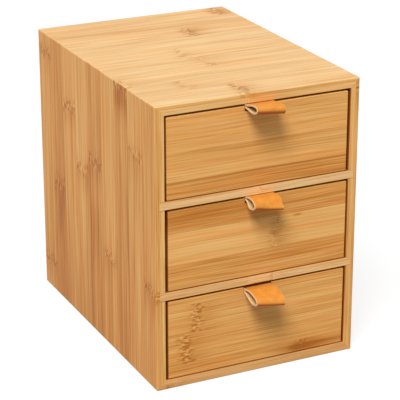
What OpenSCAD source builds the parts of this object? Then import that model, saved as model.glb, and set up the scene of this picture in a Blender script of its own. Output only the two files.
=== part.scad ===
// Desktop mini drawers: a mitred bamboo case with two shelves and three drawers, each with a leather pull.
// Millimetres. X runs to the right, the drawers face -Y and open towards it, Z is up.
// The origin is the centre of the case's underside.

/* [Case] */
// Width of the case
case_w = 150; // [120:5:220]
// Depth of the case, front to back
case_d = 205; // [150:5:300]
// Height of the case
case_h = 200; // [160:5:260]
// Thickness of the four outer boards
board_t = 7; // [6:0.5:9]
// Thickness of the two shelves
shelf_t = 6; // [5:0.5:8]
// How deep each shelf is housed in the side boards
housing_depth = 4; // [1.5:0.5:4.5]
// Thickness of the back panel
back_t = 4.5; // [3:0.5:5]
// Radius of the case's outer edges
edge_r = 1; // [0.6:0.1:2]
// Radius of the edges around the drawer openings
inner_edge_r = 0.5; // [0.4:0.1:1]

/* [Drawers] */
// Thickness of a drawer's front board
front_t = 8; // [7:0.5:10]
// Thickness of a drawer's side and back boards
box_t = 6; // [5:0.5:7]
// Thickness of a drawer's base panel
base_t = 3; // [2.5:0.5:3.5]
// Total sideways play of a drawer in its bay
side_play = 2.4; // [2:0.1:3]
// Gap between a drawer front and the board above it
top_gap = 1.4; // [1:0.1:2]
// How far the drawer fronts sit behind the case's front edges
front_recess = 0.5; // [0.3:0.1:2]
// Height of a drawer's sides and back, below the height of its front
side_drop = 6.5; // [4:0.5:12]
// Radius of the edges of a drawer front's face
face_r = 0.6; // [0.4:0.1:1.5]

/* [Pull tabs] */
// Width of the leather strip
tab_w = 20.6; // [16:0.2:26]
// Thickness of the leather
leather_t = 1.3; // [1.1:0.1:1.4]
// Depth of the notch that the strip passes through
notch_depth = 3.9; // [3.8:0.1:5]
// Length of the strip's two tails down the inside of the drawer front
tail_l = 15; // [13:1:20]

/* [Hidden] */
NAMES = ["top", "middle", "bottom"];
DRAWER_PIECES = ["drawer_front", "drawer_left_side", "drawer_right_side", "drawer_back", "drawer_base",
                 "drawer_pins", "pull_tab", "tab_screws"];
CASE_NODES = ["top_board", "bottom_board", "left_board", "right_board", "upper_shelf", "lower_shelf",
              "back_panel", "corner_splines", "back_panel_pins"];

// Colours
bamboo = "burlywood";
pale_bamboo = "wheat";
leather = "sandybrown";
steel = "silver";
brass = "goldenrod";

// Case
half_w = case_w / 2;
half_d = case_d / 2;
inner_w = case_w - 2 * board_t;
bay_h = (case_h - 2 * board_t - 2 * shelf_t) / 3;
rebate_w = 4;
rebate_d = 5;
back_clearance = 0.1;
bay_rear = half_d - rebate_d;
board_radii = [edge_r, inner_edge_r, 0, inner_edge_r];
arc_steps = 4;
cut = 1;

// Splines glued into the mitred corners
spline_w = 5;
spline_t = 1.5;
spline_stop = 12;
spline_inset = 2.8;

// Steel pins that hold the back panel and the drawer boxes
pin_r = 0.5;
pin_l = 15;
pin_head_r = 0.9;
pin_head_t = 0.5;
pin_room = 0.02;
back_pin_inset = 2;
back_pin_z = [20, 80, 120, 180];
back_pin_x = 40;
drawer_pin_z = [14, 38];

// Drawers: each sits a little to one side of its bay, within the side play
drawer_shift = [-0.15, 0.6, 0.4];
slide_gap = 0.2;
stop_gap = 0.2;
drawer_w = inner_w - side_play;
drawer_d = case_d - rebate_d - front_recess - stop_gap;
front_h = bay_h - top_gap - slide_gap;
side_h = front_h - side_drop;
front_lip = 3;
groove_d = 3;
groove_z = 3;
corner_r = 1.3;
soft_edge_r = 0.4;
box_radii = [soft_edge_r, soft_edge_r, 0.8, 0.8];

// Pull tabs. A tab's own plane has u forward from the drawer's face and v up from the notch's floor.
tab_room = 0.4;
leaf_gap = 0.2;
leaf_pitch = leather_t + leaf_gap;
bend_r = 1.2;
notch_ease = 0.5;
notch_z = front_h - notch_depth;
leaf_run = 1;
curve_steps = 2;
tab_lift = [2.3, 2.3, 0.1];
screw_x = 5;
screw_drop = 8;
screw_r = 1.1;
screw_l = 6.5;
screw_tip_l = 1.8;
screw_tip_r = 0.2;
screw_head_r = 2.5;
screw_head_h = 1.6;
recess_w = 0.6;
recess_l = 2.8;
recess_depth = 0.9;

// Each fold's middle line, from the upper leaf round to the lower one
fold_top = [
    [2.5, 4.9], [6.4, 6], [10.5, 6.9], [14, 7], [16, 6.4], [16.5, 5.1],
    [15.6, 3.7], [12.9, 2.4], [9.9, 2], [6.8, 2.1], [3.8, 2.6]];
fold_middle = [
    [3.3, 5.5], [7.2, 5.9], [10.1, 5.4], [12.1, 4.3], [13.4, 3], [13.4, 1.7],
    [11.8, 0.4], [9.1, -1.1], [6, -1.8], [4.6, -1.2], [3.8, 0], [3, 1.3], [1.8, 2.5]];
fold_bottom = [
    [2.2, 2.4], [5.2, 3], [8.2, 2.7], [12, 2.1], [15.5, 1.4], [17.8, 0.5], [18.5, -0.8],
    [17.2, -2.6], [13.8, -3.8], [10.6, -4], [8.2, -3.3], [6, -2.1], [3.6, -1.1], [1.4, 0]];
folds = [fold_top, fold_middle, fold_bottom];

// Points of an arc of radius r about [x, y], or that point alone where r is 0
function arc(x, y, r, from, to) = r <= 0 ? [[x, y]]
    : [for (i = [0:arc_steps]) let (a = from + (to - from) * i / arc_steps)
        [x + r * cos(a), y + r * sin(a)]];

// Outline of a rectangle whose corners have the radii r, anticlockwise from the low corner
function eased_rect(lo, hi, r) = concat(
    arc(lo.x + r[0], lo.y + r[0], r[0], 180, 270),
    arc(hi.x - r[1], lo.y + r[1], r[1], 270, 360),
    arc(hi.x - r[2], hi.y - r[2], r[2], 0, 90),
    arc(lo.x + r[3], hi.y - r[3], r[3], 90, 180));

// A smooth curve through the points
function curve_point(p, i, t) = let (
    a = p[max(i - 1, 0)], b = p[i], c = p[i + 1], d = p[min(i + 2, len(p) - 1)])
    0.5 * (2 * b + (c - a) * t + (2 * a - 5 * b + 4 * c - d) * t * t + (3 * b - a - 3 * c + d) * t * t * t);
function curve(p) = concat(
    [for (i = [0:len(p) - 2], k = [0:curve_steps - 1]) curve_point(p, i, k / curve_steps)],
    [p[len(p) - 1]]);

// The path moved sideways by d, and a strip of thickness t along it
function beside(path, d) = [for (i = [0:len(path) - 1])
    let (along = path[min(i + 1, len(path) - 1)] - path[max(i - 1, 0)], n = along / norm(along))
    path[i] + d * [-n.y, n.x]];
function reversed(list) = [for (i = [len(list) - 1:-1:0]) list[i]];
function strip(path, t) = concat(beside(path, t / 2), reversed(beside(path, -t / 2)));

// Floor of a bay, counted from the top one
function bay_z(i) = board_t + (2 - i) * (bay_h + shelf_t);

// Solids from outlines: across X the outline is (y, z), across Y it is (x, z), and along Z it is (x, y)
module across_x(from, to) translate([from, 0, 0]) rotate([90, 0, 90]) linear_extrude(to - from) children();
module across_y(from, to) translate([0, to, 0]) rotate([90, 0, 0]) linear_extrude(to - from) children();
module along_z(from, to) translate([0, 0, from]) linear_extrude(to - from) children();
module block(lo, hi) translate(lo) cube(hi - lo);

// A pin along +Z with its head at the top, at the origin
module pin(room = 0) {
    head_h = pin_head_t + (room > 0 ? cut : 0);
    translate([0, 0, -pin_l - room]) cylinder(r = pin_r + room, h = pin_l - pin_head_t + room, $fn = 24);
    translate([0, 0, -pin_head_t - room]) cylinder(r = pin_head_r + room, h = head_h, $fn = 24);
}

module back_pins(room = 0) {
    panel_rear = bay_rear + back_t;
    for (side = [-1, 1], z = back_pin_z)
        translate([side * (inner_w / 2 + back_pin_inset), panel_rear, z]) rotate([-90, 0, 0]) pin(room);
    for (side = [-1, 1], z = [board_t - back_pin_inset, case_h - board_t + back_pin_inset])
        translate([side * back_pin_x, panel_rear, z]) rotate([-90, 0, 0]) pin(room);
}

module splines() {
    x = inner_w / 2 + spline_inset;
    z = case_h / 2 - board_t + spline_inset;
    for (x_side = [-1, 1], z_side = [-1, 1])
        translate([x_side * x, 0, case_h / 2 + z_side * z])
            rotate([0, x_side * z_side * 45, 0])
                cube([spline_w, case_d - 2 * spline_stop, spline_t], center = true);
}

// The left board, mitred at both ends, with a rebate for the back panel and a housing for each shelf
module side_board() {
    outer = -half_w;
    inner = outer + board_t;
    mitred = concat([[inner, case_h - board_t]],
        arc(outer + edge_r, case_h - edge_r, edge_r, 135, 180),
        arc(outer + edge_r, edge_r, edge_r, 180, 225),
        [[inner, board_t]]);
    difference() {
        intersection() {
            across_y(-half_d, half_d) polygon(mitred);
            along_z(0, case_h) polygon(eased_rect([outer, -half_d], [inner, half_d], board_radii));
        }
        block([inner - rebate_w, bay_rear, -cut], [inner + cut, half_d + cut, case_h + cut]);
        for (i = [0, 1])
            translate([0, 0, bay_z(i)])
                block([inner - housing_depth, -half_d - cut, -shelf_t], [inner + cut, bay_rear, 0]);
        splines();
        back_pins(pin_room);
    }
}

// The bottom board, mitred at both ends, with a rebate for the back panel
module flat_board() {
    mitred = concat([[-inner_w / 2, board_t]],
        arc(-half_w + edge_r, edge_r, edge_r, 225, 270),
        arc(half_w - edge_r, edge_r, edge_r, 270, 315),
        [[inner_w / 2, board_t]]);
    difference() {
        intersection() {
            across_y(-half_d, half_d) polygon(mitred);
            across_x(-half_w, half_w)
                polygon(eased_rect([-half_d, 0], [half_d, board_t], board_radii));
        }
        block([-half_w - cut, bay_rear, board_t - rebate_w], [half_w + cut, half_d + cut, board_t + cut]);
        splines();
        back_pins(pin_room);
    }
}

module left_board() color(bamboo) side_board();
module right_board() color(bamboo) mirror([1, 0, 0]) side_board();
module bottom_board() color(bamboo) flat_board();
module top_board() color(bamboo) translate([0, 0, case_h]) mirror([0, 0, 1]) flat_board();

// The shelf under bay i
module shelf(i) color(pale_bamboo) {
    x = inner_w / 2 + housing_depth;
    z = bay_z(i);
    across_x(-x, x)
        polygon(eased_rect([-half_d, z - shelf_t], [bay_rear, z], [soft_edge_r, 0, 0, soft_edge_r]));
}

module back_panel() color(pale_bamboo) {
    x = inner_w / 2 + rebate_w - back_clearance;
    z = board_t - rebate_w + back_clearance;
    difference() {
        block([-x, bay_rear, z], [x, bay_rear + back_t, case_h - z]);
        back_pins(pin_room);
    }
}

module corner_splines() color(pale_bamboo) splines();
module back_panel_pins() color(steel) back_pins();

// Puts a drawer piece, drawn with its face at y = 0 and its underside at z = 0, into bay i
module in_bay(i) translate([drawer_shift[i], front_recess - half_d, bay_z(i) + slide_gap]) children();

module box_pins(room = 0) {
    for (side = [-1, 1], y = [(front_lip + front_t) / 2, drawer_d - box_t / 2], z = drawer_pin_z)
        translate([side * drawer_w / 2, y, z]) rotate([0, side * 90, 0]) pin(room);
}

module screws_at(i, depth) {
    for (side = [-1, 1])
        translate([side * screw_x, depth, notch_z - screw_drop]) rotate([-90, 0, 0]) children();
}

module screw_hole() {
    translate([0, 0, -screw_l - cut / 2]) cylinder(r = screw_r + pin_room, h = screw_l + cut, $fn = 24);
}

// Where the tab's first tail starts, behind the drawer front, and where the screw heads bear on the second
tab_y = front_t + leaf_gap;
head_y = tab_y + leather_t + leaf_pitch;

module drawer_front(i) color(bamboo) in_bay(i) {
    w = drawer_w / 2;
    groove_x = w - groove_d;
    corners = [corner_r, corner_r, corner_r, corner_r];
    difference() {
        intersection() {
            across_x(-w, w)
                polygon(eased_rect([0, 0], [front_t, front_h], [face_r, soft_edge_r, soft_edge_r, face_r]));
            along_z(0, front_h) polygon(eased_rect([-w, 0], [w, front_t], [face_r, face_r, 0, 0]));
            across_y(0, front_t) polygon(eased_rect([-w, 0], [w, front_h], corners));
        }
        for (side = [-1, 1])
            translate([side * w, 0, 0])
                block([-box_t, front_lip, -cut], [box_t, front_t + cut, side_h]);
        block([-groove_x, front_t - groove_d, groove_z], [groove_x, front_t + cut, groove_z + base_t]);
        across_x(-tab_w / 2 - tab_room, tab_w / 2 + tab_room)
            polygon([[-cut, front_h + cut], [-cut, notch_z], [front_t - notch_ease, notch_z],
                     [front_t, notch_z - notch_ease], [front_t + cut, notch_z - notch_ease],
                     [front_t + cut, front_h + cut]]);
        box_pins(pin_room);
        screws_at(i, head_y) screw_hole();
    }
}

// A drawer's left side
module box_side() {
    lo = [-drawer_w / 2, 0];
    hi = [-drawer_w / 2 + box_t, side_h];
    difference() {
        across_y(front_lip, drawer_d) polygon(eased_rect(lo, hi, box_radii));
        block([hi.x - groove_d, front_lip - cut, groove_z], [hi.x + cut, drawer_d + cut, groove_z + base_t]);
        box_pins(pin_room);
    }
}

module drawer_left_side(i) color(pale_bamboo) in_bay(i) box_side();
module drawer_right_side(i) color(pale_bamboo) in_bay(i) mirror([1, 0, 0]) box_side();

module drawer_back(i) color(pale_bamboo) in_bay(i) {
    x = drawer_w / 2 - box_t;
    lo = [drawer_d - box_t, 0];
    hi = [drawer_d, side_h];
    difference() {
        across_x(-x, x) polygon(eased_rect(lo, hi, box_radii));
        block([-x - cut, lo.x - cut, groove_z], [x + cut, lo.x + groove_d, groove_z + base_t]);
        box_pins(pin_room);
    }
}

module drawer_base(i) color(pale_bamboo) in_bay(i) {
    x = drawer_w / 2 - box_t + groove_d;
    block([-x, front_t - groove_d, groove_z], [x, drawer_d - box_t + groove_d, groove_z + base_t]);
}

module drawer_pins(i) color(steel) in_bay(i) box_pins();

// The middle line of a strip: up the outside of its tails, over the notch, round the fold and back
function tab_path(i) = let (
    lift = tab_lift[i],
    lower = lift + leather_t / 2,
    upper = lower + leaf_pitch,
    bend_u = -tab_y - leather_t / 2 + bend_r,
    bend_v = lower - bend_r,
    outer_r = bend_r + leaf_pitch)
    concat(
        [[bend_u - outer_r, -tail_l]],
        arc(bend_u, bend_v, outer_r, 180, 90),
        curve(concat([[-leaf_run, upper], [0, upper]], folds[i], [[0, lower], [-leaf_run, lower]])),
        arc(bend_u, bend_v, bend_r, 90, 180),
        [[bend_u - bend_r, -tail_l]]);

module pull_tab(i) color(leather) in_bay(i) {
    outline = [for (p = strip(tab_path(i), leather_t)) [-p.x, notch_z + p.y]];
    difference() {
        across_x(-tab_w / 2, tab_w / 2) polygon(outline);
        screws_at(i, head_y) screw_hole();
    }
}

// A round-head screw along +Z, with the underside of its head at the origin
module screw() {
    dome_r = (screw_head_r * screw_head_r + screw_head_h * screw_head_h) / (2 * screw_head_h);
    translate([0, 0, screw_tip_l - screw_l]) cylinder(r = screw_r, h = screw_l - screw_tip_l, $fn = 24);
    translate([0, 0, -screw_l]) cylinder(r1 = screw_tip_r, r2 = screw_r, h = screw_tip_l, $fn = 24);
    difference() {
        intersection() {
            cylinder(r = screw_head_r, h = screw_head_h, $fn = 32);
            translate([0, 0, screw_head_h - dome_r]) sphere(r = dome_r, $fn = 48);
        }
        for (turn = [0, 90])
            rotate([0, 0, turn])
                translate([-recess_l / 2, -recess_w / 2, screw_head_h - recess_depth])
                    cube([recess_l, recess_w, screw_head_h]);
    }
}

module tab_screws(i) color(brass) in_bay(i) screws_at(i, head_y) screw();

top_board();
bottom_board();
left_board();
right_board();
shelf(0);  // upper_shelf
shelf(1);  // lower_shelf
back_panel();
corner_splines();
back_panel_pins();
for (i = [0:2]) {
    drawer_front(i);
    drawer_left_side(i);
    drawer_right_side(i);
    drawer_back(i);
    drawer_base(i);
    drawer_pins(i);
    pull_tab(i);
    tab_screws(i);
}
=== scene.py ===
"""Looks of the desktop mini drawers: laminated bamboo boards, leather pull tabs, light and camera.

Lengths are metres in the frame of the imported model, apart from names that end in _MM or _mm and the
numbers of the bamboo, the pull tabs and the metal, which are millimetres. A pair of numbers named
_LIMITS or _TICKS is where a step is 0 and where it is 1. One named _SCALING or _ROUGHNESS is the factor
and the offset that a noise or a shade is given.
"""
import math
import random

import bmesh
import bpy
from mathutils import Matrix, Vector


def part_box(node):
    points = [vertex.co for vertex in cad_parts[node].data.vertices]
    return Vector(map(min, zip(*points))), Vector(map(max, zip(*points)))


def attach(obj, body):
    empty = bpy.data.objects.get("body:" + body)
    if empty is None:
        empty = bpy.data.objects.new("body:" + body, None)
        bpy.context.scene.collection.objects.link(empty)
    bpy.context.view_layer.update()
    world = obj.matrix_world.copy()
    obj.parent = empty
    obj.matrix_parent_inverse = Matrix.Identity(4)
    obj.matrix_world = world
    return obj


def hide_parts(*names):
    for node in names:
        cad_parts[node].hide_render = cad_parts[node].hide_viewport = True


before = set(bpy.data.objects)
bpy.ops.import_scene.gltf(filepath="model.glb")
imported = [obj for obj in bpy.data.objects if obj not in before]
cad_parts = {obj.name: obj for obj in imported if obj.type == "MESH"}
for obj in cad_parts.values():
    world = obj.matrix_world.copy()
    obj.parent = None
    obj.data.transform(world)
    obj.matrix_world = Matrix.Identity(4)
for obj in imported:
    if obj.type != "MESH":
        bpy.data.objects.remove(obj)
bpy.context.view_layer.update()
MM = 0.001
AXES = "XYZ"
BLACK = (0.0, 0.0, 0.0, 1.0)
WHITE = (1.0, 1.0, 1.0, 1.0)
DRAWERS = ("top", "middle", "bottom")


# --- Camera ---------------------------------------------------------------------------------------

CAMERA_AZIMUTH = -25.78
CAMERA_ELEVATION = 21.1
CAMERA_DISTANCE = 1.228
CAMERA_TARGET = Vector((0.0037, -0.0057, 0.0908))
CAMERA_LENS = 154.2
SENSOR_WIDTH = 36.0


def direction(azimuth, elevation):
    """Unit vector that points away from the object, with azimuth 0 at its front and 90 at its right."""
    a, e = math.radians(azimuth), math.radians(elevation)
    return Vector((math.sin(a) * math.cos(e), -math.cos(a) * math.cos(e), math.sin(e)))


def aim(obj, target):
    obj.rotation_euler = (target - obj.location).to_track_quat("-Z", "Y").to_euler()


def make_camera():
    data = bpy.data.cameras.new("camera")
    data.lens = CAMERA_LENS
    data.sensor_width = SENSOR_WIDTH
    camera = bpy.data.objects.new("camera", data)
    camera.location = CAMERA_TARGET + direction(CAMERA_AZIMUTH, CAMERA_ELEVATION) * CAMERA_DISTANCE
    aim(camera, CAMERA_TARGET)
    bpy.context.scene.collection.objects.link(camera)
    bpy.context.scene.camera = camera


# --- Helpers for materials ------------------------------------------------------------------------

class Graph:
    """Builds a node tree. Most calls add one node or a few and return an output socket."""

    def __init__(self, tree):
        self.tree = tree

    def node(self, kind, inputs=(), **settings):
        node = self.tree.nodes.new(kind)
        for name, value in settings.items():
            setattr(node, name, value)
        for key, value in dict(inputs).items():
            self.put(node.inputs[key], value)
        return node

    def add(self, kind, inputs=(), output=0, **settings):
        return self.node(kind, inputs, **settings).outputs[output]

    def put(self, socket, value):
        if isinstance(value, bpy.types.NodeSocket):
            self.tree.links.new(value, socket)
        else:
            socket.default_value = value

    def math(self, operation, a, b=0.0, c=0.0):
        return self.add("ShaderNodeMath", {0: a, 1: b, 2: c}, operation=operation)

    def scaled(self, value, factor, offset=0.0):
        return self.math("MULTIPLY_ADD", value, factor, offset)

    def centred(self, noise, weight):
        """Noise from 0 to 1 as a change from minus half the weight to half the weight."""
        return self.scaled(noise, weight, -weight / 2)

    def total(self, values):
        result = values[0]
        for value in values[1:]:
            result = self.math("ADD", result, value)
        return result

    def vector(self, x, y, z):
        return self.add("ShaderNodeCombineXYZ", {0: x, 1: y, 2: z})

    def noise(self, vector, detail=2.0, roughness=0.5):
        return self.add("ShaderNodeTexNoise", {
            "Vector": vector, "Scale": 1.0, "Detail": detail, "Roughness": roughness})

    def step(self, value, low, high):
        """0 at low and 1 at high, with a smooth change between."""
        return self.add("ShaderNodeMapRange", {"Value": value, "From Min": low, "From Max": high},
                        interpolation_type="SMOOTHSTEP")

    def beyond(self, coordinate_mm, place, side, blend_mm):
        """1 on the given side of the place, 0 on the other, and a smooth change across the blend."""
        return self.step(self.scaled(coordinate_mm, side, -side * place / MM), -blend_mm, blend_mm)

    def bell(self, distance, width):
        """1 where distance is 0, falling to nothing within about twice the width on either side."""
        squared = self.math("POWER", self.scaled(distance, 1 / width), 2.0)
        return self.math("EXPONENT", self.scaled(squared, -1.0))

    def mix(self, factor, a, b, blend="MIX"):
        node = self.tree.nodes.new("ShaderNodeMix")
        node.data_type = "RGBA"
        node.blend_type = blend
        self.put(node.inputs[0], factor)
        self.put(node.inputs[6], a)
        self.put(node.inputs[7], b)
        return node.outputs[2]

    def ramp(self, factor, stops, interpolation="LINEAR"):
        """The ramp's colour and alpha sockets."""
        node = self.tree.nodes.new("ShaderNodeValToRGB")
        node.color_ramp.interpolation = interpolation
        elements = node.color_ramp.elements
        while len(elements) > 1:
            elements.remove(elements[-1])
        for i, (position, colour) in enumerate(stops):
            element = elements[0] if i == 0 else elements.new(position)
            element.position = position
            element.color = colour
        self.put(node.inputs[0], factor)
        return node.outputs

    def object_mm(self):
        """The three object coordinates, in millimetres."""
        split = self.node("ShaderNodeSeparateXYZ", {0: self.add("ShaderNodeTexCoord", output=3)})
        return {letter: self.scaled(split.outputs[i], 1 / MM) for i, letter in enumerate(AXES)}

    def object_place(self, scales):
        """The object coordinates, in millimetres, as a vector that is scaled along each axis."""
        axis = self.object_mm()
        return self.vector(*[self.scaled(axis[letter], scale) for letter, scale in zip(AXES, scales)])


def srgb(r, g, b):
    """A colour written as 0 to 255 display values, as the linear values that the shader takes."""
    def linear(c):
        c /= 255
        return c / 12.92 if c <= 0.04045 else ((c + 0.055) / 1.055) ** 2.4
    return (linear(r), linear(g), linear(b), 1.0)


PALEST = 0.95


def tinted(colour, factors):
    """The colour times the factors, with no part of it over PALEST."""
    return tuple(min(c * f, PALEST) for c, f in zip(colour[:3], factors)) + (1.0,)


def new_material(name):
    material = bpy.data.materials.new(name)
    material.use_nodes = True
    shader = next(n for n in material.node_tree.nodes if n.type == "BSDF_PRINCIPLED")
    return material, Graph(material.node_tree), shader


def set_surface(g, shader, colour, roughness, relief, bump):
    """Links what varies over a surface. bump is (strength, depth of the relief in millimetres)."""
    strength, depth = bump
    g.put(shader.inputs["Base Color"], colour)
    g.put(shader.inputs["Roughness"], roughness)
    g.put(shader.inputs["Normal"], g.add("ShaderNodeBump", {
        "Height": relief, "Strength": strength, "Distance": depth * MM}))


def set_material(obj, material):
    obj.data.materials.clear()
    obj.data.materials.append(material)


# --- Laminated bamboo -----------------------------------------------------------------------------

# Tints of a board's colour, from its darkest fibres to its palest
BAMBOO_TINTS = [
    (0.00, (0.54, 0.35, 0.18)),
    (0.25, (0.79, 0.65, 0.45)),
    (0.50, (1.00, 1.00, 1.00)),
    (0.75, (1.13, 1.27, 1.50)),
    (1.00, (1.20, 1.50, 2.10)),
]
KNUCKLE_TINT = (0.56, 0.35, 0.17)
RED_TINT = (1.03, 0.93, 0.84)

# Noise that the grain is made of: its scales across the grain, along it and through the board, and its
# detail and roughness
GRAIN_NOISE = {
    "sway": (0.03, 0.010, 1.0, 1, 0.5),
    "band": (0.13, 0.006, 1.0, 1, 0.5),
    "broad": (0.42, 0.006, 0.5, 2, 0.5),
    "streak": (1.1, 0.011, 1.0, 2, 0.6),
    "fibre": (3.2, 0.03, 3.0, 2, 0.5),
    "red": (0.2, 0.011, 0.3, 1, 0.5),
    "ticks": (0.80, 0.24, 1.0, 2, 0.6),
}
DEPTH_SCALE = 0.9
SWAY_REACH = 3.5

# What the place among the tints is made of: the strip's shade, and how far each other thing moves it
SHADE_SCALING = (0.80, 0.10)
WEIGHTS = {
    "band": 0.34, "broad": 0.34, "streak": 0.90, "fibre": 0.70,
    "halo": -0.26, "pale": 0.22, "dark": -0.30, "mark": -0.30,
}
MARK_SCALING = (1.6, 0.2)
RED_LIMITS = (0.40, 0.72)

# Steps in the noise from one seed, shade, knuckle or ply to the next, so that each has its own grain
SEED_STEP = 13.7
SHADE_STEP = 317.0
SPOT_STEP = 211.0
PLY_STEP = 71.0
PASSED_STEP = 3.3

# Knuckles. Their middle line strays by both WANDER and JITTER: (scale across the grain, how far in all,
# place in the noise). HALO is (distance beyond the knuckle, width) of the darker streaks there
MAX_KNUCKLES = 2
NO_KNUCKLE = -1000
SPOT_OFFSET = 0.25
WANDER = (0.16, 14.0, 0.0)
JITTER = (0.9, 5.0, 5.0)
DARK_TICKS = (0.49, 0.58)
PALE_TICKS = (0.46, 0.36)
KNUCKLE_WIDTH = 4.2
KNUCKLE_BREAK = 1.5
KNUCKLE_COVER = 0.80
HALO = (6.0, 11.0)

# Half widths of the change to another ply or skin, and of a glue line
PLY_BLEND = 0.05
SKIN_BLEND = 0.15
GLUE_LINE = 0.3
GLUE_SCALING = (0.9, -0.1)

BAMBOO_ROUGHNESS = (0.20, 0.38)
BAMBOO_SPECULAR = 0.10
BAMBOO_BUMP = (0.25, 0.05)
BAMBOO_RELIEF = {"fibre": 0.6, "streak": 0.5, "dark": -0.5}


def distance_from(g, coordinate_mm, start, end):
    """The distance from start towards end, as a socket, and the whole way, both in millimetres."""
    way = (end - start) / MM
    sign = math.copysign(1, way)
    return g.scaled(coordinate_mm, sign, -sign * start / MM), abs(way)


def strip_edges(strips):
    """Where the strips start and the last one ends, as shares of the row."""
    total = sum(strip[0] for strip in strips)
    edges = [0.0]
    for strip in strips:
        edges.append(edges[-1] + strip[0] / total)
    return edges


def strip_values(g, share, strips, edges, reach):
    """Sockets of the strip's shade, the places of its two knuckles, and their strength.

    A ramp holds them, with one constant step a strip. The places are shares of the reach, which is twice
    the board's length, moved up by SPOT_OFFSET. So a knuckle that isn't there has the share 0, which lies
    off the board.
    """
    stops = []
    for edge, (width, shade, knuckles, strength) in zip(edges, strips):
        places = (list(knuckles) + [NO_KNUCKLE] * MAX_KNUCKLES)[:MAX_KNUCKLES]
        spots = [max(place / reach + SPOT_OFFSET, 0) for place in places]
        stops.append((edge, (shade, *spots, strength)))
    held, strength = g.ramp(share, stops, "CONSTANT")
    shade, *spots = g.node("ShaderNodeSeparateColor", {0: held}).outputs
    return shade, spots, strength


def grain_noise(g, layer, across_mm, along_mm, depth):
    """One layer of the grain, at those distances across it and along it, and that depth in the noise."""
    across, along, through, detail, roughness = GRAIN_NOISE[layer]
    place = g.vector(g.scaled(across_mm, across), g.scaled(along_mm, along), g.scaled(depth, through))
    return g.noise(place, detail=detail, roughness=roughness)


def knuckle_line(g, across_mm, own, settings):
    """How far the knuckles' middle line strays along the grain."""
    scale, reach, place = settings
    return g.centred(g.noise(g.vector(g.scaled(across_mm, scale), own, place), detail=1), reach)


def knuckle_masks(g, across_mm, along_mm, own, spots, reach, strength):
    """Masks of the knuckles' dark ticks, their pale ticks and the darker streaks beyond them.

    The last socket counts the knuckles that lie before the point.
    """
    stray = [knuckle_line(g, across_mm, own, settings) for settings in (WANDER, JITTER)]
    ticks = grain_noise(g, "ticks", across_mm, along_mm, own)
    dark_ticks = g.step(ticks, *DARK_TICKS)
    pale_ticks = g.step(ticks, *PALE_TICKS)
    halo_distance, halo_width = HALO
    dark, pale, halo, passed = [], [], [], []
    for spot in spots:
        straight = g.math("SUBTRACT", along_mm, g.scaled(spot, reach, -SPOT_OFFSET * reach))
        distance = g.total([straight] + stray)
        near = g.bell(distance, KNUCKLE_WIDTH)
        dark.append(g.math("MULTIPLY", near, dark_ticks))
        pale.append(g.math("MULTIPLY", near, pale_ticks))
        halo.append(g.bell(g.scaled(distance, 1.0, -halo_distance), halo_width))
        passed.append(g.step(distance, -KNUCKLE_BREAK, KNUCKLE_BREAK))
    masks = [g.math("MULTIPLY", g.total(mask), strength) for mask in (dark, pale, halo)]
    return (*masks, g.total(passed))


def dark_patches(g, across_mm, along_mm, marks):
    """The sum of the marks, each a soft patch of its own strength."""
    patches = []
    for (middle_across, middle_along), (half_across, half_along), strength in marks:
        bell_across = g.bell(g.scaled(across_mm, 1.0, -middle_across), half_across)
        bell_along = g.bell(g.scaled(along_mm, 1.0, -middle_along), half_along)
        patches.append(g.scaled(g.math("MULTIPLY", bell_across, bell_along), strength))
    return g.total(patches)


def glue_lines(g, share, edges, row):
    """1 on the thin lines between the strips, 0 elsewhere."""
    half = GLUE_LINE / row
    stops = [(0.0, BLACK)]
    for edge in edges[1:-1]:
        stops += [(edge - half, BLACK), (edge, WHITE), (edge + half, BLACK)]
    return g.ramp(share, stops)[0]


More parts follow.
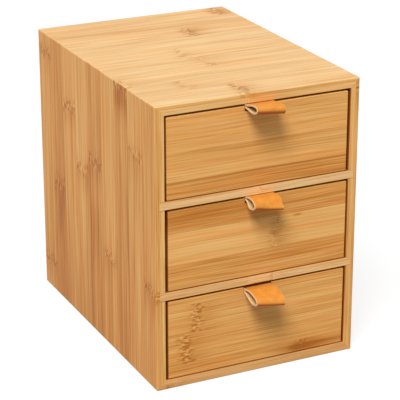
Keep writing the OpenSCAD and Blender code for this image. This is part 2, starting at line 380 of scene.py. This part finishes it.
def bamboo_material(name, along, across, first, last, strips, seed, colour, marks=(), ply=None,
                    skins=(), grain=1.0):
    """Strips of bamboo glued side by side.

    along and across are the axes of the grain and of the row of strips. first and last are the (across,
    along) places where the row of strips and their length start and end. Each strip is (width, shade from
    0 to 1, distances of its knuckles from the start, strength of the knuckles), and the widths fill the
    row in proportion. Each mark is a dark patch: (across, along) distances of its middle from the start,
    its half widths, and its strength. ply is (place, side, tint): on that side of the place along the
    board's thickness lies a second ply of that tint. Each skin is (axis, place, side, tint) and only
    tints the wood there. grain is the contrast of the broader fibres.
    """
    material, g, shader = new_material(name)
    axis = g.object_mm()
    across_mm, row = distance_from(g, axis[across], first[0], last[0])
    along_mm, length = distance_from(g, axis[along], first[1], last[1])
    through_mm = axis[next(letter for letter in AXES if letter not in (along, across))]
    reach = 2 * length
    share = g.scaled(across_mm, 1 / row)
    edges = strip_edges(strips)
    shade, spots, strength = strip_values(g, share, strips, edges, reach)

    # Each strip's own grain is cut from another place in the noise, and each ply's too. The second ply
    # has no knuckles
    own = g.total([g.scaled(shade, SHADE_STEP, seed * SEED_STEP), g.scaled(spots[0], SPOT_STEP)])
    in_ply = None
    if ply:
        place, side, ply_tint = ply
        in_ply = g.beyond(through_mm, place, side, PLY_BLEND)
        own = g.math("ADD", own, g.scaled(in_ply, PLY_STEP))
        strength = g.math("MULTIPLY", strength, g.scaled(in_ply, -1.0, 1.0))

    # The fibres don't run on through a knuckle
    dark, pale, halo, passed = knuckle_masks(g, across_mm, along_mm, own, spots, reach, strength)
    own = g.math("ADD", own, g.scaled(passed, PASSED_STEP))

    # Fibres, from broad bands to fine ones
    sway = g.scaled(grain_noise(g, "sway", across_mm, along_mm, own), SWAY_REACH)
    bent = g.math("ADD", across_mm, sway)
    deep = g.math("ADD", g.scaled(through_mm, DEPTH_SCALE), own)
    band = grain_noise(g, "band", bent, along_mm, own)
    broad = grain_noise(g, "broad", bent, along_mm, deep)
    streak = grain_noise(g, "streak", bent, along_mm, deep)
    fibre = grain_noise(g, "fibre", bent, along_mm, deep)
    red = grain_noise(g, "red", bent, along_mm, deep)

    value = g.total([
        g.scaled(shade, *SHADE_SCALING),
        g.centred(band, WEIGHTS["band"]),
        g.centred(broad, WEIGHTS["broad"] * grain),
        g.centred(streak, WEIGHTS["streak"]),
        g.centred(fibre, WEIGHTS["fibre"]),
        g.scaled(g.math("MULTIPLY", halo, streak), WEIGHTS["halo"]),
        g.scaled(pale, WEIGHTS["pale"]),
        g.scaled(dark, WEIGHTS["dark"]),
    ])
    if marks:
        patches = dark_patches(g, across_mm, along_mm, marks)
        streaky = g.math("MULTIPLY", patches, g.scaled(streak, *MARK_SCALING))
        value = g.math("ADD", value, g.scaled(streaky, WEIGHTS["mark"]))

    tone = g.ramp(value, [(place, tinted(colour, tint)) for place, tint in BAMBOO_TINTS])[0]
    tone = g.mix(g.step(red, *RED_LIMITS), tone, (*RED_TINT, 1.0), "MULTIPLY")
    tone = g.mix(g.scaled(dark, KNUCKLE_COVER), tone, tinted(colour, KNUCKLE_TINT))
    if in_ply is not None:
        tone = g.mix(in_ply, tone, (*ply_tint, 1.0), "MULTIPLY")
    for letter, place, side, tint in skins:
        in_skin = g.beyond(axis[letter], place, side, SKIN_BLEND)
        tone = g.mix(in_skin, tone, (*tint, 1.0), "MULTIPLY")
    line = g.math("MULTIPLY", glue_lines(g, share, edges, row), g.scaled(broad, *GLUE_SCALING))
    tone = g.mix(line, tone, tinted(colour, KNUCKLE_TINT))

    relief = g.total([
        g.scaled(fibre, BAMBOO_RELIEF["fibre"]),
        g.scaled(streak, BAMBOO_RELIEF["streak"]),
        g.scaled(dark, BAMBOO_RELIEF["dark"]),
    ])
    set_surface(g, shader, tone, g.scaled(fibre, *BAMBOO_ROUGHNESS), relief, BAMBOO_BUMP)
    shader.inputs["Specular IOR Level"].default_value = BAMBOO_SPECULAR
    return material


# Strips and marks of the boards that the photograph shows, as bamboo_material takes them. The left
# board's run from its back edge to its front edge and from the top down, the top board's from its back
# edge to its front edge and from the left, and the drawer fronts' from their top edge down and from the
# case's left side.
LEFT_BOARD_STRIPS = [
    (24, 0.55, [13, 178], 0.7),
    (22, 0.38, [109], 0.9),
    (23, 0.56, [42], 1.0),
    (23, 0.58, [82], 1.0),
    (24, 0.43, [71], 1.0),
    (23, 0.58, [132], 0.7),
    (22, 0.40, [4], 1.0),
    (24, 0.54, [42], 0.6),
    (20, 0.47, [131], 0.7),
]
LEFT_BOARD_MARKS = [
    ((35, 131), (7, 20), 0.7),
    ((103, 120), (8, 24), 0.5),
    ((160, 96), (1.6, 34), 0.8),
    ((150, 10), (9, 9), 0.6),
    # A broad patch over the lower part of the side: painted shade, darker towards the bottom
    ((70, 210), (140, 90), 0.75),
]
TOP_BOARD_STRIPS = [
    (22, 0.50, [138], 1.0),
    (21, 0.43, [], 0.0),
    (24, 0.50, [96], 1.0),
    (24, 0.56, [], 0.0),
    (23, 0.54, [66], 0.5),
    (24, 0.50, [74], 0.5),
    (23, 0.55, [1], 0.5),
    (20, 0.53, [36], 0.4),
    (24, 0.58, [67], 1.0),
]
TOP_BOARD_MARKS = [
    ((11, 138), (5, 6), 0.6),
    ((55, 96), (6, 6), 0.4),
    ((193, 67), (6, 5), 0.5),
]
# The top drawer's strips are a little paler and the bottom drawer's a little darker than their wood:
# painted fall-off of the light down the case
FRONT_STRIPS = {
    "top": [(24.6, 0.60, [], 0.0), (20, 0.57, [], 0.0), (11.8, 0.34, [], 0.0)],
    "middle": [(16.2, 0.38, [], 0.0), (22.3, 0.68, [89], 0.35), (18, 0.37, [], 0.0)],
    "bottom": [
        (4.5, 0.38, [], 0.0), (21.5, 0.52, [30], 0.9), (21.5, 0.50, [21.5], 1.0), (9, 0.44, [110], 1.0)],
}
FRONT_MARKS = {
    "top": [((26, 60), (1.4, 60), 0.6), ((44.6, 80), (1.0, 90), 1.0)],
    "middle": [((18, 105), (0.9, 3.0), 1.4), ((28, 89), (12, 5), 0.3), ((4, 35), (10, 66), 0.75)],
    "bottom": [((53, 121), (3.4, 27), 0.8), ((53, 107), (3.0, 7), 1.0)],
}
SHELF_FRONT_STRIPS = {
    "upper_shelf": (20, 0.56, [76], 0.0),
    "lower_shelf": (20, 0.56, [70, 88], 0.25),
}

# Made-up strips of the boards that the photograph doesn't show: their width, the limits of their shades
# and of their knuckles' strengths, how many a board has, and how far along its grain a knuckle may lie
RANDOM_WIDTH = 20
RANDOM_SHADES = (0.38, 0.60)
RANDOM_STRENGTHS = (0.3, 0.9)
CASE_STRIPS = 9
SHELF_STRIPS = 8
PANEL_STRIPS = 7
BOX_STRIPS = 3
LONG_GRAIN = 200
SHORT_GRAIN = 150

SIDE_COLOUR = srgb(211, 153, 86)
FRONT_COLOUR = srgb(213, 156, 87)
RAIL_COLOUR = srgb(215, 169, 111)
BOX_COLOUR = srgb(216, 166, 102)
PLY_TINT = (1.04, 1.10, 1.22)
# Painted sheen: the top face is made paler and less orange, in place of the white sheen that light leaves
# on its lacquer
TOP_SHEEN_TINT = (0.92, 1.17, 1.74)
FRONT_EDGE_TINT = (1.03, 1.10, 1.15)
# Painted shade: the bottom board's front edge is darker than the other front edges, as the case darkens
# towards the floor
BASE_EDGE_SHADE_TINT = (0.90, 0.92, 1.00)
# The drawer fronts' ends: darker end grain, and painted shade that darkens the gaps beside the drawers
END_GRAIN_AND_GAP_SHADE_TINT = (0.44, 0.27, 0.14)
# Painted shade on the case's inner faces around the drawers, which darkens the gaps between them and the
# case
INSIDE_SHADE_TINT = (0.42, 0.22, 0.09)
SIDE_GRAIN = 1.7
OUTER_PLY_MM = 2.9
SKIN_MM = 0.35
UPPER_SKIN_MM = 0.175
TOP_SHEEN_MM = 0.7

# Seeds of the top drawer's pieces. The lower drawers' follow on
FRONT_SEED = 10
SIDE_SEED = 20
BACK_SEED = 30
BASE_SEED = 40


def random_strips(seed, count, length_mm):
    """Strips of any shade within the limits, each with one knuckle anywhere along its length."""
    draw = random.Random(seed)
    return [
        (RANDOM_WIDTH, draw.uniform(*RANDOM_SHADES), [draw.uniform(0, length_mm)],
         draw.uniform(*RANDOM_STRENGTHS))
        for _ in range(count)
    ]


def dress(node, **kw):
    """Gives a wooden node its own bamboo."""
    set_material(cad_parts[node], bamboo_material(node + "_bamboo", **kw))


def dress_unseen(node, seed, count, length_mm, last_strips=(), **kw):
    """Dresses a node whose strips are made up, apart from any last ones that are given."""
    strips = random_strips(seed, count, length_mm) + list(last_strips)
    dress(node, seed=seed, strips=strips, **kw)


def skin(node, letter, side, depth_mm, tint):
    """The skin that tints the wood within a depth of the node's face on that side."""
    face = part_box(node)[1 if side > 0 else 0][AXES.index(letter)]
    return (letter, face - side * depth_mm * MM, side, tint)


def dress_case():
    """Strips are measured from the case's outer faces. Skins tint its front edges, with painted shade on
    the bottom one, and paint a sheen on its top and shade on its inside faces.
    """
    low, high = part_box("left_board")
    front, back, left, bottom = low.y, high.y, low.x, low.z
    right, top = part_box("right_board")[1].x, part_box("top_board")[1].z
    ply = OUTER_PLY_MM * MM
    front_edge = skin("left_board", "Y", -1, SKIN_MM, FRONT_EDGE_TINT)
    base_edge_shade = skin("left_board", "Y", -1, SKIN_MM, BASE_EDGE_SHADE_TINT)
    upper_sheen = skin("top_board", "Z", 1, TOP_SHEEN_MM, TOP_SHEEN_TINT)
    upright = {"along": "Z", "across": "Y", "first": (back, top), "last": (front, bottom)}
    level = {"along": "X", "across": "Y", "first": (back, left), "last": (front, right)}

    dress("left_board", **upright, seed=1, strips=LEFT_BOARD_STRIPS, marks=LEFT_BOARD_MARKS,
          colour=SIDE_COLOUR, grain=SIDE_GRAIN, ply=(left + ply, 1, PLY_TINT),
          skins=[front_edge, upper_sheen, skin("left_board", "X", 1, SKIN_MM, INSIDE_SHADE_TINT)])
    dress_unseen("right_board", **upright, seed=3, count=CASE_STRIPS, length_mm=LONG_GRAIN,
                 colour=SIDE_COLOUR, grain=SIDE_GRAIN, ply=(right - ply, -1, PLY_TINT),
                 skins=[front_edge, upper_sheen, skin("right_board", "X", -1, SKIN_MM, INSIDE_SHADE_TINT)])
    dress("top_board", **level, seed=2, strips=TOP_BOARD_STRIPS, marks=TOP_BOARD_MARKS,
          colour=SIDE_COLOUR, ply=(top - ply, -1, PLY_TINT),
          skins=[front_edge, skin("top_board", "Z", -1, SKIN_MM, INSIDE_SHADE_TINT), upper_sheen])
    dress_unseen("bottom_board", **level, seed=4, count=CASE_STRIPS, length_mm=SHORT_GRAIN,
                 colour=SIDE_COLOUR, ply=(bottom + ply, 1, PLY_TINT),
                 skins=[base_edge_shade, skin("bottom_board", "Z", 1, UPPER_SKIN_MM, INSIDE_SHADE_TINT)])
    for node, seed in (("upper_shelf", 5), ("lower_shelf", 6)):
        dress_unseen(node, **level, seed=seed, count=SHELF_STRIPS, length_mm=SHORT_GRAIN,
                     last_strips=[SHELF_FRONT_STRIPS[node]], colour=RAIL_COLOUR,
                     skins=[skin(node, "Z", -1, SKIN_MM, INSIDE_SHADE_TINT),
                            skin(node, "Z", 1, UPPER_SKIN_MM, INSIDE_SHADE_TINT)])
    dress_unseen("back_panel", along="Z", across="X", first=(left, top), last=(right, bottom),
                 seed=7, count=PANEL_STRIPS, length_mm=LONG_GRAIN, colour=BOX_COLOUR)
    dress_unseen("corner_splines", along="Y", across="X", first=(left, front), last=(right, back),
                 seed=8, count=PANEL_STRIPS, length_mm=LONG_GRAIN, colour=BOX_COLOUR)


def dress_drawers():
    """Strips are measured from the case's faces, and in height from the edges of each drawer's front."""
    case_low, case_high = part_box("left_board")
    front, back, left = case_low.y, case_high.y, case_low.x
    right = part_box("right_board")[1].x
    for i, name in enumerate(DRAWERS):
        node = name + "_drawer_front"
        low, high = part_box(node)
        level = {"along": "X", "across": "Z", "first": (high.z, left), "last": (low.z, right)}
        # The skins at the front's ends are its darker end grain and painted shade in the gaps beside the
        # drawer
        dress(node, **level, seed=FRONT_SEED + i, strips=FRONT_STRIPS[name],
              marks=FRONT_MARKS[name], colour=FRONT_COLOUR,
              skins=[skin(node, "X", side, SKIN_MM, END_GRAIN_AND_GAP_SHADE_TINT) for side in (-1, 1)])
        for j, side in enumerate(("left", "right")):
            dress_unseen(f"{name}_drawer_{side}_side", along="Y", across="Z",
                         first=(high.z, front), last=(low.z, back),
                         seed=SIDE_SEED + 2 * i + j, count=BOX_STRIPS, length_mm=LONG_GRAIN,
                         colour=BOX_COLOUR)
        dress_unseen(name + "_drawer_back", **level, seed=BACK_SEED + i, count=BOX_STRIPS,
                     length_mm=SHORT_GRAIN, colour=BOX_COLOUR)
        dress_unseen(name + "_drawer_base", along="Y", across="X", first=(left, front), last=(right, back),
                     seed=BASE_SEED + i, count=PANEL_STRIPS, length_mm=LONG_GRAIN, colour=BOX_COLOUR)


# --- Leather pull tabs ----------------------------------------------------------------------------

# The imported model's own sizes: T is a thickness, W a width, L a length and R a radius
LEATHER_T = 1.3
TAB_W = 20.6
LEAF_GAP = 0.2
TAB_LIFT = {"top": 2.3, "middle": 2.3, "bottom": 0.1}
TAIL_L = 15.0
BEND_R = 1.2
NOTCH_DEPTH = 3.9
FRONT_T = 8.0
# Each fold's middle line, forward from the drawer's face and up from the notch's floor, from the upper
# leaf round to the lower one. The strip twists a little, so its left and right ends differ.
LEFT_FOLDS = {
    "top": [
        (2.5, 4.9), (6.4, 6), (10.5, 6.9), (14, 7), (16, 6.4), (16.5, 5.1),
        (15.6, 3.7), (12.9, 2.4), (9.9, 2), (6.8, 2.1), (3.8, 2.6)],
    "middle": [
        (3.3, 5.5), (7.2, 5.8), (10.1, 5.2), (12.2, 4.1), (13.4, 2.9), (13.5, 1.6),
        (12, 0.4), (9.4, -0.6), (6.6, -1.1), (5, -0.7), (4, 0.3), (3, 1.5), (1.8, 2.6)],
    "bottom": [
        (2.2, 2.7), (5.2, 3.4), (8.2, 3.4), (12, 2.9), (15.5, 1.9), (17.8, 0.6), (18.5, -0.8),
        (17, -2.5), (13.8, -3.5), (10.6, -3.5), (8.2, -2.8), (6, -1.8), (3.6, -0.9), (1.4, 0.1)],
}
RIGHT_FOLDS = {
    "top": [
        (2.6, 4.7), (6.2, 5.4), (9.8, 5.7), (13.2, 5.6), (15.8, 5), (16.7, 3.2),
        (15.6, 1.2), (12.9, 0.6), (9.6, 0.9), (6.6, 1.5), (3.6, 2.3)],
    "middle": [
        (2.8, 4.8), (6.2, 5.1), (9.2, 4.9), (10.9, 3.9), (11.9, 2.4), (13.4, 0.8),
        (15.4, -0.6), (14.2, -1.9), (11, -2.2), (7.8, -1.7), (5.2, -0.5), (3.5, 0.9), (1.8, 2.3)],
    "bottom": [
        (2.2, 2.4), (5.4, 2.9), (9, 2.8), (13, 1.9), (16.6, 0.5), (19, -1.5), (19.9, -3.7),
        (18.6, -5), (15.2, -5.1), (11.4, -4.5), (8.4, -3.4), (6, -2.2), (3.6, -1.1), (1.4, 0)],
}
LEAD_IN = 1
EDGE_R = 0.22
CORNER_ANGLES = (22.5, 45, 67.5)
CURVE_STEPS = 8
ACROSS_STEPS = 16
ALONG_STEPS = 150
# The places of the strip's parts in its list of materials
PARTS = {"grain": 0, "flesh": 1, "edge": 2}


def arc(centre, radius, start, end):
    angles = [math.radians(start + (end - start) * i / CURVE_STEPS) for i in range(CURVE_STEPS + 1)]
    return [(centre[0] + radius * math.cos(a), centre[1] + radius * math.sin(a)) for a in angles]


def smooth_curve(points):
    """A curve through the points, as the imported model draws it."""
    result = []
    for i in range(len(points) - 1):
        p = [points[max(i - 1, 0)], points[i], points[i + 1], points[min(i + 2, len(points) - 1)]]
        for k in range(CURVE_STEPS):
            t = k / CURVE_STEPS
            result.append(tuple(0.5 * (
                2 * b + (c - a) * t + (2 * a - 5 * b + 4 * c - d) * t * t
                + (3 * b - a - 3 * c + d) * t ** 3)
                for a, b, c, d in zip(*p)))
    return result + [points[-1]]


def even_steps(points, count):
    """The same line in a count of even steps."""
    points = [Vector(p) for p in points]
    marks = [0.0]
    for p, q in zip(points, points[1:]):
        marks.append(marks[-1] + (q - p).length)
    result = []
    i = 0
    for k in range(count + 1):
        place = marks[-1] * k / count
        while i < len(points) - 2 and marks[i + 1] < place:
            i += 1
        share = (place - marks[i]) / (marks[i + 1] - marks[i])
        result.append(points[i].lerp(points[i + 1], min(share, 1.0)))
    return result


def tab_path(name, share):
    """The middle line of a strip, from its outer tail's foot round the fold to its inner tail's foot.

    share is 0 at the strip's left end and 1 at its right end.
    """
    pitch = LEATHER_T + LEAF_GAP
    lower = TAB_LIFT[name] + LEATHER_T / 2
    upper = lower + pitch
    bend = (-(FRONT_T + LEAF_GAP) - LEATHER_T / 2 + BEND_R, lower - BEND_R)
    outer_r = BEND_R + pitch
    leaf = [(p[0] + (q[0] - p[0]) * share, p[1] + (q[1] - p[1]) * share)
            for p, q in zip(LEFT_FOLDS[name], RIGHT_FOLDS[name])]
    fold = [(-LEAD_IN, upper), (0, upper)] + leaf + [(0, lower), (-LEAD_IN, lower)]
    line = [(bend[0] - outer_r, -TAIL_L)] + arc(bend, outer_r, 180, 90) + smooth_curve(fold)
    line += arc(bend, BEND_R, 90, 180) + [(bend[0] - BEND_R, -TAIL_L)]
    return even_steps(line, ALONG_STEPS)


def section():
    """Points of the strip's cross-section, anticlockwise from the flesh side's left end.

    Each point is (x, offset towards the grain side, part), where part is what the stretch after it shows.
    """
    w, t, r = TAB_W / 2, LEATHER_T / 2, EDGE_R
    flat = [-w + r + (TAB_W - 2 * r) * i / ACROSS_STEPS for i in range(ACROSS_STEPS + 1)]
    corner = [(r * math.sin(math.radians(a)), r * math.cos(math.radians(a))) for a in CORNER_ANGLES]
    points = [(x, -t, "flesh") for x in flat[:-1]] + [(flat[-1], -t, "edge")]
    points += [(w - r + s, -t + r - c, "edge") for s, c in corner]
    points += [(w, -t + r, "edge"), (w, 0.0, "edge"), (w, t - r, "edge")]
    points += [(w - r + s, t - r + c, "edge") for s, c in reversed(corner)]
    points += [(x, t, "grain") for x in reversed(flat[1:])] + [(flat[0], t, "edge")]
    points += [(-w + r - s, t - r + c, "edge") for s, c in corner]
    points += [(-w, t - r, "edge"), (-w, 0.0, "edge"), (-w, -t + r, "edge")]
    points += [(-w + r - s, -t + r - c, "edge") for s, c in reversed(corner)]
    return points


def tab_mesh(name):
    """The folded strip of one drawer, as a closed mesh whose faces know their part."""
    low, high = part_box(name + "_drawer_front")
    floor_z = high.z / MM - NOTCH_DEPTH
    face_y, middle_x = low.y / MM, (low.x + high.x) / 2 / MM
    outline = section()
    paths = {x: tab_path(name, x / TAB_W + 0.5) for x, offset, part in outline}
    mesh = bmesh.new()
    rings = []
    for i in range(ALONG_STEPS + 1):
        vertices = []
        for x, offset, part in outline:
            path = paths[x]
            ahead = (path[min(i + 1, ALONG_STEPS)] - path[max(i - 1, 0)]).normalized()
            u, v = path[i] + Vector((-ahead.y, ahead.x)) * offset
            vertices.append(mesh.verts.new(Vector((middle_x + x, face_y - u, floor_z + v)) * MM))
        rings.append(vertices)
    for before, after in zip(rings, rings[1:]):
        for k, (x, offset, part) in enumerate(outline):
            n = (k + 1) % len(outline)
            face = mesh.faces.new((before[k], before[n], after[n], after[k]))
            face.material_index = PARTS[part]
            face.smooth = True
    for cap in (rings[0], list(reversed(rings[-1]))):
        mesh.faces.new(cap).material_index = PARTS["edge"]
    bmesh.ops.recalc_face_normals(mesh, faces=mesh.faces)
    data = bpy.data.meshes.new(name + "_folded_tab")
    mesh.to_mesh(data)
    mesh.free()
    return data


def make_tabs():
    """The three folded strips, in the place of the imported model's tabs."""
    materials = [grain_leather(), flesh_leather(), edge_leather()]
    for name in DRAWERS:
        tab = bpy.data.objects.new(name + "_folded_tab", tab_mesh(name))
        bpy.context.scene.collection.objects.link(tab)
        for material in materials:
            tab.data.materials.append(material)
        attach(tab, name + "_drawer")
        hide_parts(name + "_pull_tab")


# --- Leather --------------------------------------------------------------------------------------

LEATHER_TONES = [(0.25, srgb(186, 114, 37)), (0.50, srgb(202, 129, 48)), (0.75, srgb(214, 143, 63))]
# Where the smooth side faces down it is painted darker and redder: painted shade, with the reddish light
# that the leather throws back, under the fold
UNDER_SHADE_COLOUR = srgb(172, 74, 12)
UNDER_SHADE_LIMITS = (0.15, -0.55)
UNDER_SHADE_COVER = 0.85
CLOUD_SCALE = 0.22
CLOUD_WEIGHT = 0.5
FLECK_SCALE = 1.4
FLECK_SCALING = (0.6, -0.05)
FLECK_RELIEF = 0.5
PORE_SCALE = 2.2
PORE_LIMITS = (0.05, 0.45)
LEATHER_ROUGHNESS = (0.25, 0.40)
LEATHER_SPECULAR = 0.18
LEATHER_BUMP = (0.35, 0.06)
RAW_DULLNESS = 0.85
RAW_SPECULAR = 0.15
RAW_BUMP = (0.5, 0.12)
FLESH_SCALE = 1.6
CUT_EDGE_SCALE = 2.4
# Where in a noise a material's dark tone ends and its pale tone starts
DARK_END = 0.35
PALE_START = 0.65


def grain_leather():
    """The dyed, smooth side."""
    material, g, shader = new_material("leather_grain")
    cloud = g.noise(g.object_place([CLOUD_SCALE] * 3), detail=3)
    fleck = g.noise(g.object_place([FLECK_SCALE] * 3), detail=2)
    pores = g.add("ShaderNodeTexVoronoi", {
        "Vector": g.object_place([1.0] * 3), "Scale": PORE_SCALE, "Randomness": 1.0})
    value = g.total([g.scaled(cloud, CLOUD_WEIGHT), g.scaled(fleck, *FLECK_SCALING)])
    tone = g.ramp(value, LEATHER_TONES)[0]
    upright = g.node("ShaderNodeSeparateXYZ", {0: g.add("ShaderNodeTexCoord", output=1)}).outputs[2]
    # Painted shade where the leather faces down, under the fold
    under_shade = g.scaled(g.step(upright, *UNDER_SHADE_LIMITS), UNDER_SHADE_COVER)
    tone = g.mix(under_shade, tone, UNDER_SHADE_COLOUR)
    relief = g.total([g.step(pores, *PORE_LIMITS), g.scaled(fleck, FLECK_RELIEF)])
    set_surface(g, shader, tone, g.scaled(fleck, *LEATHER_ROUGHNESS), relief, LEATHER_BUMP)
    shader.inputs["Specular IOR Level"].default_value = LEATHER_SPECULAR
    return material


def raw_leather(name, dark, pale, fibre_scale):
    """Undyed fibres."""
    material, g, shader = new_material(name)
    fibre = g.noise(g.object_place([fibre_scale] * 3), detail=4, roughness=0.65)
    tone = g.ramp(fibre, [(DARK_END, dark), (PALE_START, pale)])[0]
    set_surface(g, shader, tone, RAW_DULLNESS, fibre, RAW_BUMP)
    shader.inputs["Specular IOR Level"].default_value = RAW_SPECULAR
    return material


def flesh_leather():
    """The rough side."""
    return raw_leather("leather_flesh", srgb(184, 146, 100), srgb(216, 178, 130), FLESH_SCALE)


def edge_leather():
    """The cut edges."""
    return raw_leather("leather_edge", srgb(200, 162, 114), srgb(230, 196, 148), CUT_EDGE_SCALE)


# --- Metal ----------------------------------------------------------------------------------------

METAL_CLOUD_SCALE = 1.5
SCRATCH_SCALES = (9.0, 9.0, 1.2)
SCRATCH_FACTOR = 0.30
METAL_BUMP = (0.3, 0.01)


def metal_material(name, dark, pale, roughness):
    material, g, shader = new_material(name)
    cloud = g.noise(g.object_place([METAL_CLOUD_SCALE] * 3), detail=3)
    scratch = g.noise(g.object_place(SCRATCH_SCALES), detail=2)
    tone = g.ramp(cloud, [(DARK_END, dark), (PALE_START, pale)])[0]
    set_surface(g, shader, tone, g.scaled(scratch, SCRATCH_FACTOR, roughness), scratch, METAL_BUMP)
    shader.inputs["Metallic"].default_value = 1.0
    return material


def dress_metal():
    brass = metal_material("brass", srgb(196, 158, 88), srgb(226, 190, 116), roughness=0.18)
    steel = metal_material("steel", srgb(160, 160, 158), srgb(200, 200, 198), roughness=0.22)
    set_material(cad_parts["back_panel_pins"], steel)
    for name in DRAWERS:
        set_material(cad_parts[name + "_drawer_pins"], steel)
        set_material(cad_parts[name + "_tab_screws"], brass)


# --- Light ----------------------------------------------------------------------------------------

AMBIENT = 0.52
KEY = {"azimuth": -40, "elevation": 54, "strength": 3.60, "angle": 24, "distance": 2.0}
FILL = {"azimuth": -85, "elevation": 42, "strength": 0.10, "size": 0.5, "distance": 0.9}
# How white the floor is where it is seen and in the light that it throws back, and the share of what is
# seen that glows white by itself, so that its shadow stays faint
FLOOR_SIZE = 16.0
FLOOR_SEEN = 0.85
FLOOR_BOUNCE = 0.25
FLOOR_WHITE = 0.80
FLOOR_DULLNESS = 0.9


def make_world():
    """White to the camera and in reflections, and a plain pale light on everything else."""
    world = bpy.data.worlds.new("studio")
    world.use_nodes = True
    bpy.context.scene.world = world
    g = Graph(world.node_tree)
    path = g.node("ShaderNodeLightPath")
    seen = g.math("MAXIMUM", path.outputs["Is Camera Ray"],
                  g.math("MAXIMUM", path.outputs["Is Glossy Ray"], path.outputs["Is Transmission Ray"]))
    background = next(n for n in g.tree.nodes if n.type == "BACKGROUND")
    background.inputs["Color"].default_value = WHITE
    g.put(background.inputs["Strength"], g.scaled(seen, 1.0 - AMBIENT, AMBIENT))


def place_lamp(data, azimuth, elevation, distance):
    lamp = bpy.data.objects.new(data.name, data)
    lamp.location = direction(azimuth, elevation) * distance
    aim(lamp, Vector((0, 0, 0)))
    bpy.context.scene.collection.objects.link(lamp)


def make_lamps():
    """A sun as the key, and near the left side a soft box whose light falls off down the case."""
    key = bpy.data.lights.new("key", "SUN")
    key.energy = KEY["strength"]
    key.angle = math.radians(KEY["angle"])
    place_lamp(key, KEY["azimuth"], KEY["elevation"], KEY["distance"])
    fill = bpy.data.lights.new("fill", "AREA")
    fill.energy = FILL["strength"] * math.pi * FILL["distance"] ** 2
    fill.size = FILL["size"]
    place_lamp(fill, FILL["azimuth"], FILL["elevation"], FILL["distance"])


def make_floor():
    """A pale floor whose lit part shows white, with a faint shadow."""
    mesh = bpy.data.meshes.new("floor")
    half = FLOOR_SIZE / 2
    corners = [(-half, -half, 0), (half, -half, 0), (half, half, 0), (-half, half, 0)]
    mesh.from_pydata(corners, [], [(0, 1, 2, 3)])
    floor = bpy.data.objects.new("floor", mesh)
    bpy.context.scene.collection.objects.link(floor)
    material, g, shader = new_material("pale_floor")
    shader.inputs["Base Color"].default_value = (FLOOR_BOUNCE, FLOOR_BOUNCE, FLOOR_BOUNCE, 1)
    shader.inputs["Roughness"].default_value = FLOOR_DULLNESS
    shader.inputs["Specular IOR Level"].default_value = 0.0
    path = g.node("ShaderNodeLightPath")
    lit = g.add("ShaderNodeBsdfDiffuse", {"Color": (FLOOR_SEEN, FLOOR_SEEN, FLOOR_SEEN, 1)})
    white = g.add("ShaderNodeEmission", {"Color": WHITE, "Strength": 1.0})
    seen = g.add("ShaderNodeMixShader", {0: FLOOR_WHITE, 1: lit, 2: white})
    mixed = g.add("ShaderNodeMixShader", {
        0: path.outputs["Is Diffuse Ray"], 1: seen, 2: shader.outputs[0]})
    output = next(n for n in g.tree.nodes if n.type == "OUTPUT_MATERIAL")
    g.put(output.inputs["Surface"], mixed)
    set_material(floor, material)


# --- Everything in turn ---------------------------------------------------------------------------

bpy.context.scene.view_settings.view_transform = "Standard"
make_camera()
make_world()
make_lamps()
make_floor()
dress_case()
dress_drawers()
make_tabs()
dress_metal()
